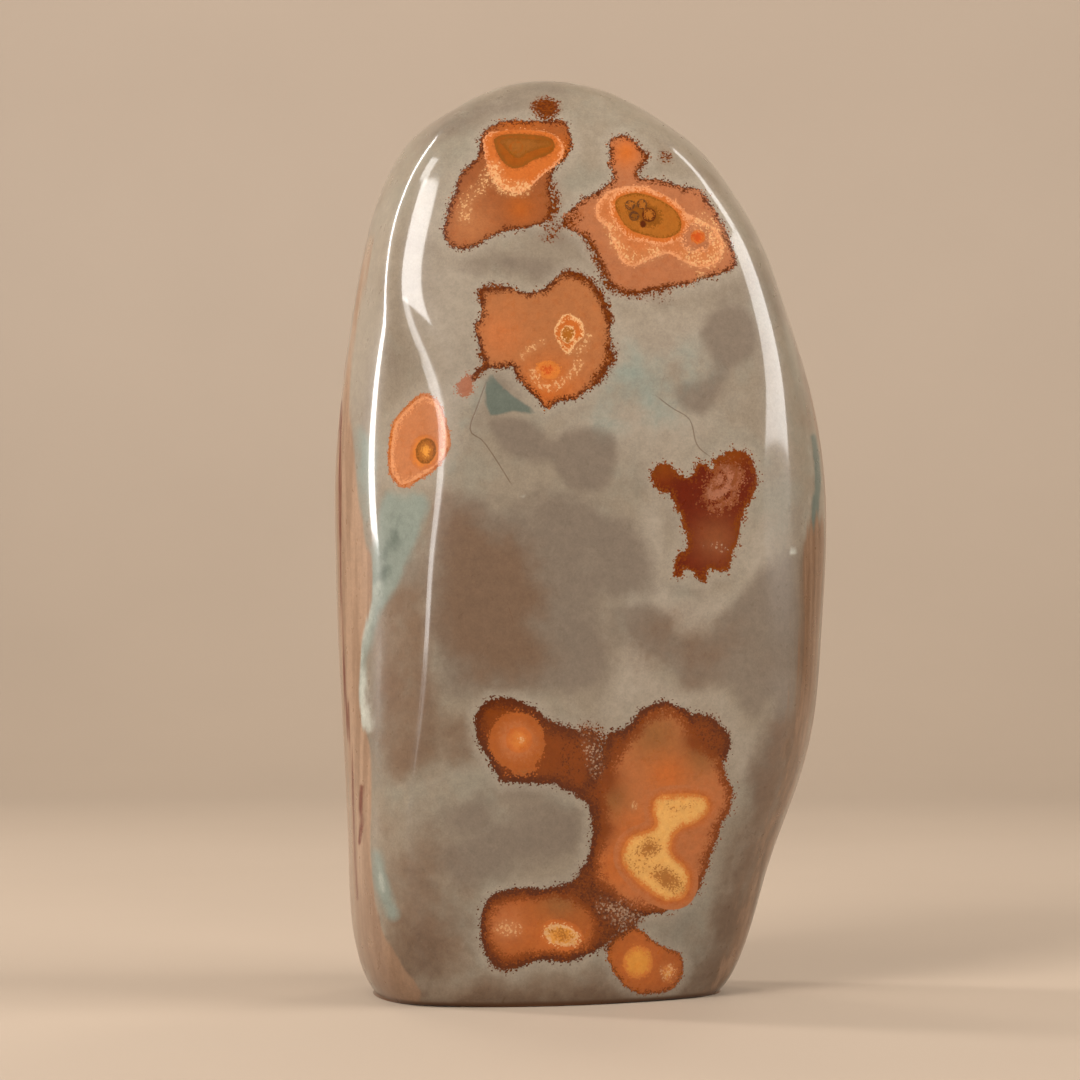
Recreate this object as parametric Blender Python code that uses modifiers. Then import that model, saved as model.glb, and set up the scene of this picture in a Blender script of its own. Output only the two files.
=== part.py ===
"""Ocean jasper: one polished, free-form standing stone.

The stone is ground and polished from a single piece. Its front is one broad, slightly
crowned face. On the left a narrow bevel and a side facet turn away from it along two
soft ridges, on the right one blunter ridge runs down its edge, the top is a dome, and
the foot is cut flat so that the stone stands. The colours are all in the rock, so
nothing of them is raised.

Frame: metres, +Z up, the front faces -Y, and the origin is on the ground in the middle
of the stone's bounding box.
"""

from collections import namedtuple

import bpy
from mathutils import Matrix, Vector

MM = 0.001

# Driving dimensions
HEIGHT = 160.0 * MM
WIDTH = 87.0 * MM
DEPTH = 48.0 * MM

# Surface detail: each step splits a face of the cage into four. The cage is moved this
# many times until the smoothed surface runs through the measured places.
SMOOTHING_STEPS = 2
FITTING_PASSES = 12

# The polished rock's mean colour and finish
ROCK_COLOUR = (0.215, 0.165, 0.125, 1.0)
ROCK_ROUGHNESS = 0.18

# One level cut through the stone, in millimetres. "left", "right" and "back" are how far
# the rock reaches that way, and "outer", "inner" and "blunt" are the places of its three
# ridges: the two on the left, and the rounder one on the right.
Cut = namedtuple("Cut", "height left outer inner blunt right back")
CUTS = [
    Cut(0.0, -35.8, (-32.4, -12.8), (-24.2, -19.4), (18.2, -9.4), 25.2, 19.0),
    Cut(3.0, -37.6, (-33.6, -13.6), (-25.0, -20.4), (19.3, -10.2), 27.2, 20.3),
    Cut(12.0, -40.0, (-35.3, -14.4), (-27.0, -21.4), (22.0, -11.6), 30.7, 22.0),
    Cut(24.0, -40.6, (-36.0, -15.0), (-28.5, -22.2), (26.0, -13.2), 34.2, 23.2),
    Cut(37.0, -41.2, (-36.2, -14.8), (-28.5, -22.6), (31.0, -15.0), 39.0, 23.9),
    Cut(50.0, -42.0, (-35.8, -14.2), (-27.0, -22.8), (34.5, -16.2), 42.0, 24.2),
    Cut(64.0, -42.8, (-35.2, -13.8), (-26.0, -22.8), (34.8, -16.8), 43.0, 24.1),
    Cut(78.0, -43.2, (-35.0, -13.8), (-25.0, -22.6), (33.8, -17.0), 43.6, 23.7),
    Cut(92.0, -43.2, (-35.0, -13.6), (-22.9, -22.2), (33.8, -16.8), 43.2, 22.9),
    Cut(106.0, -41.9, (-34.9, -13.3), (-23.4, -21.2), (34.2, -16.2), 41.0, 21.8),
    Cut(119.0, -40.0, (-35.1, -12.7), (-29.0, -19.2), (32.0, -14.8), 37.2, 20.4),
    Cut(131.0, -37.6, (-34.0, -11.5), (-28.6, -16.9), (28.0, -12.8), 33.0, 18.6),
    Cut(140.0, -35.0, (-31.4, -9.6), (-26.7, -14.0), (22.8, -10.8), 27.9, 16.4),
    Cut(147.0, -31.5, (-28.0, -7.8), (-23.6, -11.3), (17.2, -9.0), 22.6, 13.4),
    Cut(152.4, -26.0, (-23.0, -6.0), (-19.2, -8.2), (11.4, -6.6), 15.8, 9.4),
]

# The dome above the last cut: x and z of its three middle points, and how far they
# stand in front of and behind the middle
DOME = [(-15.2, 157.2), (-5.5, 158.8), (5.2, 157.1)]
DOME_REACH = 3.6

# How the rest of a cut is drawn between the measured places
FRONT_CROWN = 0.21
FLANK_FORWARD = 0.26
FLANK_INSET = 0.8
EDGE_BACKWARD = 0.34
EDGE_INSET = 0.4
LEFT_BACKWARD = 0.22
CORNER_ALONG = 0.78
CORNER_BACKWARD = 0.74
BACK_CROWN = 0.95

# How sharp the ridges are, from 0 for round, and the height below which the inner one is
OUTER_CREASE = 0.4
INNER_CREASE = 0.42
INNER_CREASE_TOP = 106.0

# The foot: how far the flat cut lies inside the lowest ring
FOOT_INSET = 1.6

# Faces along the front or back, and along each side, of the cage
FACES_WIDE = 4
FACES_DEEP = 3


def between(a, b, share):
    """The point that lies this share of the way from a to b."""
    return a + (b - a) * share


def ring_of(cut):
    """Points on the rock around one cut, from the inner ridge along the front to the
    right, and on around the back to the left."""
    inner = Vector((*cut.inner, cut.height))
    blunt = Vector((*cut.blunt, cut.height))
    corner_y = cut.back * CORNER_BACKWARD
    back_right = Vector((cut.right * CORNER_ALONG, corner_y, cut.height))
    back_left = Vector((cut.left * CORNER_ALONG, corner_y, cut.height))
    ring = []
    for step in range(FACES_WIDE + 1):
        share = step / FACES_WIDE
        crown = FRONT_CROWN * inner.y * 4 * share * (1 - share)
        ring.append(between(inner, blunt, share) + Vector((0, crown, 0)))
    flank_y = blunt.y * FLANK_FORWARD
    ring.append(Vector((cut.right - FLANK_INSET, flank_y, cut.height)))
    edge_y = cut.back * EDGE_BACKWARD
    ring.append(Vector((cut.right - EDGE_INSET, edge_y, cut.height)))
    ring.append(back_right)
    for step in range(1, FACES_WIDE):
        point = between(back_right, back_left, step / FACES_WIDE)
        point.y = cut.back * (1.0 if step == FACES_WIDE // 2 else BACK_CROWN)
        ring.append(point)
    ring.append(back_left)
    ring.append(Vector((cut.left, cut.back * LEFT_BACKWARD, cut.height)))
    ring.append(Vector((*cut.outer, cut.height)))
    return ring


def foot_of(lowest):
    """The flat foot: a ring inside the lowest one, then the grid's own rows."""
    centre = sum(lowest, Vector()) / len(lowest)
    ring = [point + (centre - point).normalized() * FOOT_INSET for point in lowest]
    rows = []
    for row in range(1, FACES_DEEP):
        left = ring[-row]
        right = ring[FACES_WIDE + row]
        rows.append([between(left, right, i / FACES_WIDE) for i in range(1, FACES_WIDE)])
    return ring, rows


def dome_rows():
    """The dome's inner points, a row in front of the middle and a row behind it."""
    return [[Vector((x, y, z)) for x, z in DOME] for y in (-DOME_REACH, DOME_REACH)]


def close_with_grid(points, faces, ring, inside, upward):
    """Closes a ring of point numbers with a grid of four-sided faces. "inside" holds the
    grid's inner points, one row of them for each step from the front to the back."""
    grid = [ring[: FACES_WIDE + 1]]
    for row, middle in enumerate(inside, start=1):
        first = len(points)
        points.extend(middle)
        numbers = list(range(first, first + len(middle)))
        grid.append([ring[-row]] + numbers + [ring[FACES_WIDE + row]])
    back = FACES_WIDE + FACES_DEEP
    grid.append(ring[back: back + FACES_WIDE + 1][::-1])
    for front, behind in zip(grid, grid[1:]):
        for i in range(FACES_WIDE):
            face = (front[i], front[i + 1], behind[i + 1], behind[i])
            faces.append(face if upward else face[::-1])


def points_and_faces():
    """The stone's measured points, in millimetres, and the four-sided faces over them."""
    points = []
    faces = []
    rings = [ring_of(cut) for cut in CUTS]
    foot, foot_rows = foot_of(rings[0])
    numbered = []
    for ring in [foot] + rings:
        numbered.append(list(range(len(points), len(points) + len(ring))))
        points.extend(ring)
    for low, high in zip(numbered, numbered[1:]):
        for i, corner in enumerate(low):
            following = (i + 1) % len(low)
            faces.append((corner, low[following], high[following], high[i]))
    close_with_grid(points, faces, numbered[0], foot_rows, upward=False)
    close_with_grid(points, faces, numbered[-1], dome_rows(), upward=True)
    return points, faces


def smoothed_points(stone):
    """The smoothed stone's points. The first ones are where the cage's own points went."""
    bpy.context.view_layer.update()
    smoothed = stone.evaluated_get(bpy.context.evaluated_depsgraph_get())
    return [vert.co.copy() for vert in smoothed.data.vertices]


def draw_through(stone, wanted):
    """Moves the cage out until the smoothed stone passes through the wanted points,
    because smoothing draws a cage in. The foot's points keep to the ground."""
    for _ in range(FITTING_PASSES):
        for vert, aim, got in zip(stone.data.vertices, wanted, smoothed_points(stone)):
            move = aim - got
            if aim.z == 0.0:
                move.z = 0.0
            vert.co += move
        stone.data.update()


def fit_to_size(stone):
    """Scales and places the cage so that the smoothed stone has the driving dimensions
    and stands on the ground with the origin under the middle of its box."""
    points = smoothed_points(stone)
    lows = Vector([min(point[axis] for point in points) for axis in range(3)])
    highs = Vector([max(point[axis] for point in points) for axis in range(3)])
    sizes = highs - lows
    anchor = Vector((lows.x + sizes.x / 2, lows.y + sizes.y / 2, lows.z))
    wanted = (WIDTH, DEPTH, HEIGHT)
    scale = Matrix.Diagonal([wanted[axis] / sizes[axis] for axis in range(3)] + [1.0])
    stone.data.transform(scale @ Matrix.Translation(-anchor))


def crease_ridges(mesh, points):
    """Sharpens the two ridges on the left: the outer one all the way up, the inner one
    only where the bevel beside it is wide."""
    outer = {tuple(ring_of(cut)[-1]) for cut in CUTS[1:]}
    inner = {tuple(ring_of(cut)[0]) for cut in CUTS[1:] if cut.height <= INNER_CREASE_TOP}
    creases = mesh.attributes.new("crease_edge", "FLOAT", "EDGE")
    for edge in mesh.edges:
        ends = {tuple(points[number]) for number in edge.vertices}
        if ends <= outer:
            creases.data[edge.index].value = OUTER_CREASE
        elif ends <= inner:
            creases.data[edge.index].value = INNER_CREASE


def rock_material():
    """Polished grey-brown jasper."""
    material = bpy.data.materials.new("polished_jasper")
    material.use_nodes = True
    shader = material.node_tree.nodes["Principled BSDF"]
    shader.inputs["Base Color"].default_value = ROCK_COLOUR
    shader.inputs["Roughness"].default_value = ROCK_ROUGHNESS
    shader.inputs["Metallic"].default_value = 0.0
    return material


def make_stone(collection):
    """The stone: the cage, smoothed, at its real size."""
    points, faces = points_and_faces()
    wanted = [point * MM for point in points]
    mesh = bpy.data.meshes.new("stone")
    mesh.from_pydata(wanted, [], faces)
    mesh.shade_smooth()
    crease_ridges(mesh, points)
    mesh.materials.append(rock_material())
    stone = bpy.data.objects.new("stone", mesh)
    collection.objects.link(stone)
    smoothing = stone.modifiers.new("polish", "SUBSURF")
    smoothing.levels = SMOOTHING_STEPS
    smoothing.render_levels = SMOOTHING_STEPS
    draw_through(stone, wanted)
    fit_to_size(stone)
    return stone


def main():
    for obj in list(bpy.data.objects):
        bpy.data.objects.remove(obj)
    collection = bpy.data.collections.new("ocean_jasper")
    bpy.context.scene.collection.children.link(collection)
    make_stone(collection)


main()
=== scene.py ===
"""Ocean jasper: the looks of one polished standing stone.

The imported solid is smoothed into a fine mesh. The coloured patches are outlines on it:
each vertex learns how far it lies from the nearest outline of each layer, and the
material turns those distances into frayed fringes, rings and cores. The front's patches
lie where the photograph shows them. Those on the sides, back and top are balls that the
surface cuts through.
"""

import math
from collections import namedtuple

import bmesh
import bpy
import numpy as np
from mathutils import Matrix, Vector, noise

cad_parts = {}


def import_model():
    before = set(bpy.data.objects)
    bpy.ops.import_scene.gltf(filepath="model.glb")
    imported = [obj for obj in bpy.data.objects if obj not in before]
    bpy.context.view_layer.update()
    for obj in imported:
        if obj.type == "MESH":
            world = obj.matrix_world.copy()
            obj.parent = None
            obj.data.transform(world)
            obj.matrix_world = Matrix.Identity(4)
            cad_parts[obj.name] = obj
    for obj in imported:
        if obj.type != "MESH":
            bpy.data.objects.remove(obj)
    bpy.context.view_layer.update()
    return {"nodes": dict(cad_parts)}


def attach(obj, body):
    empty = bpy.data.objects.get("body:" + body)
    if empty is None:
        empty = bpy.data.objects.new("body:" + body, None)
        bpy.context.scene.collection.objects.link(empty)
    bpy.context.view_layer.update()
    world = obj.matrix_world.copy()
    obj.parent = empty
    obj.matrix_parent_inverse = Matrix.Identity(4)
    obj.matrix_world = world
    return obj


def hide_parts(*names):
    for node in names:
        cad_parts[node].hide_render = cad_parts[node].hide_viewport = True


MM = 0.001

# The camera, and the photograph's frame and the lens in pixels
CAMERA_PLACE = Vector((-0.007, -0.605, 0.0794))
CAMERA_LENS = 115.0
SENSOR_WIDTH = 36.0
CLIP_START = 0.01
FRAME_PIXELS = 1080.0
FRAME_MIDDLE = FRAME_PIXELS / 2
LENS_PIXELS = CAMERA_LENS / SENSOR_WIDTH * FRAME_PIXELS
MM_PER_PIXEL = 0.17

# The fine mesh: triangles joined in pairs, smoothed, and patterned faces cut once more
SMOOTHING_STEPS = 2
KEEP_QUADS = 5.0
WELD = 1e-6
FINE_REACH = 1.2
FINE_CUTS = 1

# Steps from one point of an outline to the next, the millimetres that mean "nowhere
# near", and the least squared length of a segment
OUTLINE_STEPS = 4
FAR = 12.0
TINY = 1e-9

# Lumps on the hidden balls: how many to a millimetre, how high, and their reach in radii
LUMP_DENSITY = 0.11
LUMP_SIZE = 0.55
LUMP_REACH = 2.0

# How much light reaches the stone and how much its polish adds, so that a colour can be
# named as the photograph shows it
LIGHT_LEVEL = 2.1
SHEEN = 0.006
DARKEST = 0.0015


def linear(value):
    """A channel of 0 to 255 as an amount of light, by the sRGB curve."""
    return ((value / 255.0 + 0.055) / 1.055) ** 2.4


def rock(*channels):
    """The stone's own colour where the photograph shows this one, 0 to 255 a channel."""
    return [max(linear(value) - SHEEN, DARKEST) / LIGHT_LEVEL for value in channels]


# Colours of the grey rock
GREY = rock(150, 134, 114)
DARK_GREY = rock(130, 114, 98)
PALE_GREY = rock(168, 153, 134)
BROWN = rock(123, 96, 75)
SHADE = rock(104, 80, 61)
TEAL = rock(138, 145, 132)
SLATE = rock(104, 110, 98)
TAN = rock(177, 142, 114)
BARK = rock(124, 92, 68)
UMBER = rock(92, 58, 36)
MIST = rock(148, 146, 130)
CHALK = rock(206, 203, 186)

# Colours of the patches
RUST = rock(126, 62, 12)
DARK_RUST = rock(90, 42, 8)
EMBER = rock(130, 62, 12)
RED_BROWN = rock(105, 38, 6)
CLAY = rock(148, 84, 46)
APRICOT = rock(172, 107, 64)
CORAL = rock(192, 120, 76)
SALMON = rock(190, 112, 64)
PINK = rock(174, 108, 70)
ORANGE = rock(194, 104, 46)
BRIGHT = rock(210, 122, 54)
SCARLET = rock(196, 84, 36)
FAWN = rock(150, 94, 50)
OCHRE = rock(166, 98, 38)
OLIVE = rock(134, 78, 28)
BRONZE = rock(152, 80, 26)
PIP = rock(148, 88, 36)
CREAM = rock(226, 172, 118)
PEACH = rock(218, 146, 98)
YELLOW = rock(240, 178, 98)
GOLD = rock(228, 150, 62)
SIENNA = rock(170, 90, 38)
MAUVE = rock(166, 106, 78)
LIVER = rock(138, 76, 44)

# One thing drawn on the rock. "layer" 0 is a patch, and higher ones lie over it, "rim" is
# the colour inside its edge over "width" millimetres, "ragged" is how frayed the edge is,
# and "grow" draws it that many millimetres larger. A place is an outline's points, an Oval
# or a Line, in pixels of the photograph, or a Ball in the rock, in millimetres.
Mark = namedtuple("Mark", "layer place fill rim width ragged grow", defaults=[0.0])
Oval = namedtuple("Oval", "x y along across tilt", defaults=[0.0])
Line = namedtuple("Line", "points half_width")
Ball = namedtuple("Ball", "x y z radius")

# The patches on the front, in pixels of the photograph
TOP_LEFT = [
    (534, 121), (564, 122), (572, 144), (568, 156), (556, 168), (550, 188), (552, 200), (550, 219),
    (534, 226), (502, 232), (483, 242), (464, 250), (453, 246), (443, 234), (445, 219), (454, 194),
    (461, 173), (478, 156), (481, 136), (493, 125), (512, 121),
]
TOP_LEFT_HALO = [
    (487, 134), (504, 131), (522, 130), (552, 134), (564, 149), (556, 165), (540, 177), (524, 192),
    (506, 190), (492, 178), (485, 157), (483, 145),
]
TOP_LEFT_CORE = [
    (495, 138), (513, 134), (535, 135), (552, 139), (554, 149), (547, 155), (533, 160), (524, 166),
    (513, 168), (504, 163), (497, 152),
]
TOP_LEFT_PIP = [
    (500, 141), (513, 138), (530, 139), (549, 141), (550, 146), (538, 149), (527, 153), (520, 158),
    (513, 156), (505, 148),
]
TOP_RIGHT = [
    (609, 143), (617, 136), (625, 135), (633, 139), (642, 149), (649, 156), (644, 164), (637, 174),
    (644, 178), (657, 180), (669, 182), (684, 187), (692, 187), (704, 196), (715, 210), (721, 222),
    (729, 238), (733, 251), (736, 265), (724, 273), (704, 279), (684, 285), (657, 290), (636, 295),
    (617, 290), (606, 278), (600, 265), (593, 251), (581, 235), (563, 224), (569, 212), (577, 203),
    (590, 195), (604, 187), (613, 179), (610, 164), (609, 153),
]
TOP_RIGHT_RING = [
    (597, 204), (608, 192), (630, 186), (652, 189), (672, 202), (688, 214), (708, 224), (720, 235),
    (723, 249), (716, 263), (697, 267), (680, 259), (666, 254), (649, 259), (636, 266), (622, 262),
    (615, 246), (608, 229), (597, 218),
]
TOP_RIGHT_INNER = [
    (609, 202), (620, 191), (638, 188), (661, 194), (680, 206), (688, 221), (683, 235), (668, 244),
    (648, 243), (629, 237), (615, 223),
]
TOP_RIGHT_CORE = [
    (615, 204), (622, 196), (638, 193), (658, 199), (674, 209), (681, 221), (679, 232), (666, 238),
    (649, 236), (633, 231), (622, 221),
]
TOP_RIGHT_HEART = [
    (622, 205), (630, 199), (644, 199), (657, 205), (664, 214), (662, 225), (650, 229), (638, 225),
    (627, 217),
]
CENTRE = [
    (480, 289), (496, 287), (508, 287), (518, 291), (529, 292), (542, 290), (549, 283), (559, 276),
    (571, 271), (581, 274), (593, 283), (601, 294), (607, 306), (611, 321), (610, 339), (611, 350),
    (615, 359), (607, 369), (600, 381), (589, 388), (576, 398), (559, 401), (547, 408), (535, 398),
    (525, 387), (515, 375), (513, 368), (501, 368), (486, 370), (478, 378), (471, 384), (474, 374),
    (483, 363), (480, 354), (479, 345), (475, 328), (480, 318), (481, 308), (479, 299),
]
CENTRE_EYE = [
    (567, 314), (581, 321), (584, 335), (576, 343), (568, 354), (559, 343), (554, 331), (559, 321),
]
LEFT = [
    (413, 399), (424, 394), (433, 397), (440, 404), (446, 420), (450, 437), (450, 447), (445, 458),
    (439, 466), (431, 473), (420, 480), (411, 485), (401, 487), (393, 479), (389, 472), (388, 460),
    (388, 449), (390, 435), (393, 423), (400, 413), (407, 405),
]
RIGHT = [
    (652, 473), (659, 465), (668, 464), (678, 473), (688, 477), (694, 473), (696, 462), (705, 464),
    (712, 468), (714, 458), (722, 455), (733, 449), (744, 452), (752, 458), (755, 468), (758, 478),
    (755, 491), (749, 504), (744, 513), (741, 523), (738, 534), (738, 545), (733, 552), (729, 567),
    (720, 571), (709, 570), (704, 582), (697, 578), (692, 572), (683, 569), (683, 577), (675, 575),
    (674, 563), (678, 555), (687, 547), (688, 536), (683, 528), (680, 516), (672, 500), (671, 494),
    (661, 492), (653, 483),
]
RIGHT_CURLS = [
    (716, 466), (728, 461), (739, 466), (744, 476), (739, 487), (737, 498), (728, 507), (718, 510),
    (708, 504), (701, 497), (704, 488), (710, 482),
]
RIGHT_SWIRL = Line([(712, 476), (718, 471), (725, 475), (723, 485), (715, 488)], 1.8)
RIGHT_LOWER_SWIRL = Line([(703, 498), (711, 503), (722, 500), (731, 492)], 2.0)
RIGHT_SIDE_SWIRL = Line([(731, 464), (736, 474), (733, 484)], 1.6)
LOWER_LEFT = [
    (476, 713), (488, 701), (501, 698), (519, 701), (534, 708), (549, 721), (564, 726), (578, 730),
    (589, 730), (600, 742), (598, 770), (588, 793), (564, 791), (556, 785), (545, 784), (530, 783),
    (515, 782), (501, 781), (495, 771), (488, 758), (480, 745), (476, 728),
]
LOWER_RIGHT = [
    (608, 735), (621, 730), (632, 721), (645, 708), (665, 702), (682, 708), (693, 715), (708, 715),
    (721, 724), (730, 741), (728, 752), (723, 763), (726, 778), (733, 791), (730, 806), (719, 824),
    (713, 843), (706, 859), (702, 876), (697, 893), (680, 906), (660, 913), (641, 915), (628, 911),
    (612, 908), (597, 896), (586, 880), (586, 869), (589, 846), (593, 824), (588, 806), (578, 795),
    (586, 782), (597, 765), (602, 747),
]
LOWER_RIGHT_BODY = [
    (636, 726), (652, 712), (674, 710), (690, 722), (697, 740), (708, 750), (720, 758), (727, 778),
    (733, 792), (731, 806), (722, 824), (716, 843), (709, 860), (704, 878), (696, 893), (680, 905),
    (658, 912), (636, 909), (615, 899), (598, 882), (593, 862), (598, 842), (602, 820), (600, 800),
    (604, 780), (614, 758), (625, 740),
]
KIDNEY = [
    (658, 802), (666, 798), (684, 797), (702, 799), (706, 806), (703, 814), (692, 821), (680, 826),
    (673, 832), (669, 840), (668, 850), (672, 859), (681, 867), (686, 876), (686, 887), (680, 896),
    (669, 898), (657, 893), (643, 883), (630, 869), (625, 858), (627, 847), (634, 839), (646, 834),
    (655, 830), (658, 822), (656, 812),
]
BOTTOM_LEFT = [
    (483, 909), (492, 895), (500, 892), (521, 888), (546, 888), (567, 884), (576, 878), (587, 863),
    (604, 872), (612, 892), (622, 910), (622, 926), (607, 943), (605, 946), (592, 953), (573, 961),
    (555, 961), (536, 961), (521, 966), (506, 969), (495, 966), (484, 952), (481, 933), (481, 921),
]
BOTTOM_LEFT_BODY = [
    (492, 909), (504, 902), (524, 897), (548, 896), (568, 898), (584, 906), (594, 920), (596, 934),
    (588, 946), (572, 952), (552, 953), (534, 954), (518, 958), (504, 958), (494, 948), (488, 934),
    (488, 920),
]
BOTTOM_RIGHT = [
    (615, 936), (627, 929), (633, 927), (644, 932), (656, 943), (670, 950), (679, 952), (683, 964),
    (680, 979), (670, 990), (648, 994), (631, 990), (619, 979), (611, 967), (607, 953), (610, 943),
]
BRIDGE = [
    (588, 866), (600, 884), (618, 902), (640, 914), (636, 926), (624, 934), (612, 944), (604, 950),
    (600, 934), (592, 918), (582, 904), (570, 892), (576, 880),
]

FRONT_MARKS = [Mark(*row) for row in [
    (0, TOP_LEFT, CLAY, DARK_RUST, 0.5, 0.8),
    (1, TOP_LEFT_HALO, ORANGE, PEACH, 0.35, 0.5),
    (2, TOP_LEFT_CORE, SIENNA, ORANGE, 0.5, 0.2, 0.7),
    (3, TOP_LEFT_CORE, BRONZE, OLIVE, 0.45, 0.1),
    (4, TOP_LEFT_PIP, PIP, OLIVE, 0.35, 0.1),
    (5, Oval(516, 147, 7, 6), PIP, BRONZE, 0.2, 0.1),
    (0, TOP_RIGHT, PINK, DARK_RUST, 0.5, 0.8),
    (1, TOP_RIGHT_RING, SALMON, PEACH, 0.55, 0.4),
    (2, TOP_RIGHT_INNER, ORANGE, PEACH, 0.4, 0.5),
    (2, Oval(697, 238, 16, 15), PINK, PEACH, 0.4, 0.9),
    (3, TOP_RIGHT_CORE, OCHRE, OLIVE, 0.25, 0.1),
    (3, Oval(698, 237, 7, 7), SCARLET, ORANGE, 0.4, 0.3),
    (4, TOP_RIGHT_HEART, OLIVE, OCHRE, 0.5, 0.1),
    (5, Oval(630, 205, 5, 5), OCHRE, UMBER, 0.25, 0.0),
    (5, Oval(642, 204, 5, 5), OCHRE, UMBER, 0.25, 0.0),
    (5, Oval(634, 216, 5, 5), OLIVE, UMBER, 0.25, 0.0),
    (5, Oval(649, 215, 7, 7), OCHRE, DARK_RUST, 0.35, 0.1),
    (5, Oval(643, 224, 3, 4), DARK_RUST, DARK_RUST, 0.3, 0.0),
    (0, CENTRE, APRICOT, DARK_RUST, 0.65, 0.8),
    (0, Oval(466, 386, 7, 10, 30), MAUVE, MAUVE, 0.5, 1.0),
    (1, CENTRE_EYE, ORANGE, CREAM, 0.4, 0.3),
    (2, Oval(568, 334, 7, 9, 10), OCHRE, CREAM, 0.3, 0.3),
    (1, Oval(548, 370, 12, 9, 10), SCARLET, BRIGHT, 0.8, 0.4),
    (0, LEFT, CORAL, SIENNA, 0.25, 0.4),
    (1, LEFT, CORAL, PEACH, 0.5, 0.2, -0.5),
    (2, Oval(425, 452, 15, 18, 15), BRIGHT, SALMON, 0.4, 0.2),
    (3, Oval(426, 451, 10, 13, 15), OCHRE, OLIVE, 0.3, 0.1),
    (4, Oval(426, 451, 7, 9, 15), GOLD, OCHRE, 0.5, 0.1),
    (0, RIGHT, RED_BROWN, RUST, 0.7, 1.0),
    (1, RIGHT_CURLS, MAUVE, LIVER, 1.0, 1.6),
    (2, RIGHT_SWIRL, RED_BROWN, LIVER, 0.3, 0.5),
    (2, RIGHT_LOWER_SWIRL, RED_BROWN, LIVER, 0.3, 0.6),
    (2, RIGHT_SIDE_SWIRL, LIVER, LIVER, 0.3, 0.5),
    (0, LOWER_LEFT, EMBER, DARK_RUST, 1.4, 0.9),
    (1, Oval(523, 768, 12, 7, -10), FAWN, SIENNA, 0.9, 1.0),
    (2, Oval(517, 741, 28, 29, -10), SALMON, SIENNA, 1.9, 0.7),
    (3, Oval(519, 740, 13, 13), BRIGHT, ORANGE, 0.8, 0.3),
    (4, Oval(521, 739, 5, 6), CREAM, BRIGHT, 0.5, 0.2),
    (0, LOWER_RIGHT, EMBER, DARK_RUST, 1.1, 0.9),
    (1, LOWER_RIGHT_BODY, SALMON, EMBER, 1.2, 1.0),
    (2, KIDNEY, ORANGE, SALMON, 0.8, 0.1, 2.0),
    (3, KIDNEY, YELLOW, BRIGHT, 0.7, 0.2, 0.6),
    (0, BOTTOM_LEFT, EMBER, DARK_RUST, 1.0, 0.9),
    (1, BOTTOM_LEFT_BODY, SIENNA, EMBER, 0.9, 0.9, 0.4),
    (2, Oval(561, 935, 22, 15, 15), BRIGHT, ORANGE, 0.9, 0.3),
    (3, Oval(561, 935, 17, 10, 15), GOLD, CREAM, 0.5, 0.5),
    (0, BOTTOM_RIGHT, SIENNA, RUST, 0.4, 0.6),
    (1, Oval(638, 962, 15, 16), GOLD, BRIGHT, 0.6, 0.4),
    (1, Oval(668, 973, 6, 8, 10), GOLD, ORANGE, 0.6, 0.6),
]]

# Soft changes of colour inside the marks of a layer: middle, radius and colour, and how
# many millimetres outside a mark they stop
TINTS = {
    0: [
        (520, 122, 26, SIENNA), (562, 150, 18, SIENNA), (470, 225, 25, APRICOT),
        (520, 208, 14, SIENNA), (626, 152, 14, ORANGE), (549, 388, 30, ORANGE),
        (500, 335, 22, SALMON), (716, 540, 24, LIVER), (733, 456, 14, EMBER),
        (400, 440, 18, BRIGHT), (664, 470, 12, EMBER), (640, 962, 28, ORANGE),
    ],
    1: [
        (655, 735, 32, FAWN), (700, 755, 22, FAWN), (668, 775, 20, ORANGE),
        (612, 800, 20, FAWN), (615, 868, 26, ORANGE), (640, 835, 24, ORANGE),
        (606, 780, 16, EMBER), (602, 830, 14, EMBER), (696, 740, 12, EMBER),
        (508, 925, 20, SALMON), (552, 934, 26, ORANGE), (560, 900, 22, FAWN),
    ],
}
TINT_MARGIN = 1.0

# The hidden sides' patches: balls in the rock, in millimetres
HIDDEN_BALLS = [
    Ball(12, 22, 116, 15), Ball(-20, 22, 92, 10), Ball(20, 23, 68, 9), Ball(-7, 24, 38, 15),
    Ball(12, 23, 24, 8), Ball(-27, 19, 60, 5), Ball(28, 18, 44, 5), Ball(-4, 8, 157, 7),
    Ball(-42, 8, 112, 6), Ball(41, 11, 92, 7), Ball(-6, 24, 72, 4), Ball(-38, 14, 30, 6),
]
# As shares of the ball's radius: its ring, its core, and how much more a dark one's ring
# is drawn. Then the light ones' colours, by turns.
RING_SHARE = 0.66
CORE_SHARE = 0.38
RING_SWELL = 0.12
LIGHT_FILLS = (APRICOT, PINK, SALMON)

# The clouds in the grey rock, in pixels of the photograph
BOW_TIE = [
    (492, 424), (510, 420), (530, 422), (545, 430), (552, 438), (570, 430), (592, 429), (610, 435),
    (617, 448), (614, 470), (606, 485), (590, 492), (570, 488), (556, 474), (548, 462), (530, 462),
    (510, 456), (498, 445),
]
RIGHT_HOOK = [
    (704, 325), (712, 311), (730, 306), (746, 309), (754, 322), (755, 345), (748, 360), (735, 366),
    (727, 378), (722, 395), (716, 408), (703, 416), (688, 412), (676, 403), (674, 392), (682, 383),
    (698, 381), (708, 375), (714, 362), (706, 348), (702, 336),
]
RIGHT_BANK = [
    (618, 610), (632, 604), (650, 606), (665, 618), (672, 632), (690, 640), (708, 630), (720, 612),
    (738, 595), (755, 575), (775, 560), (800, 570), (806, 620), (800, 690), (776, 700), (760, 722),
    (745, 716), (733, 700), (722, 686), (705, 683), (690, 688), (672, 676), (655, 660), (640, 652),
    (628, 640),
]
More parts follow.
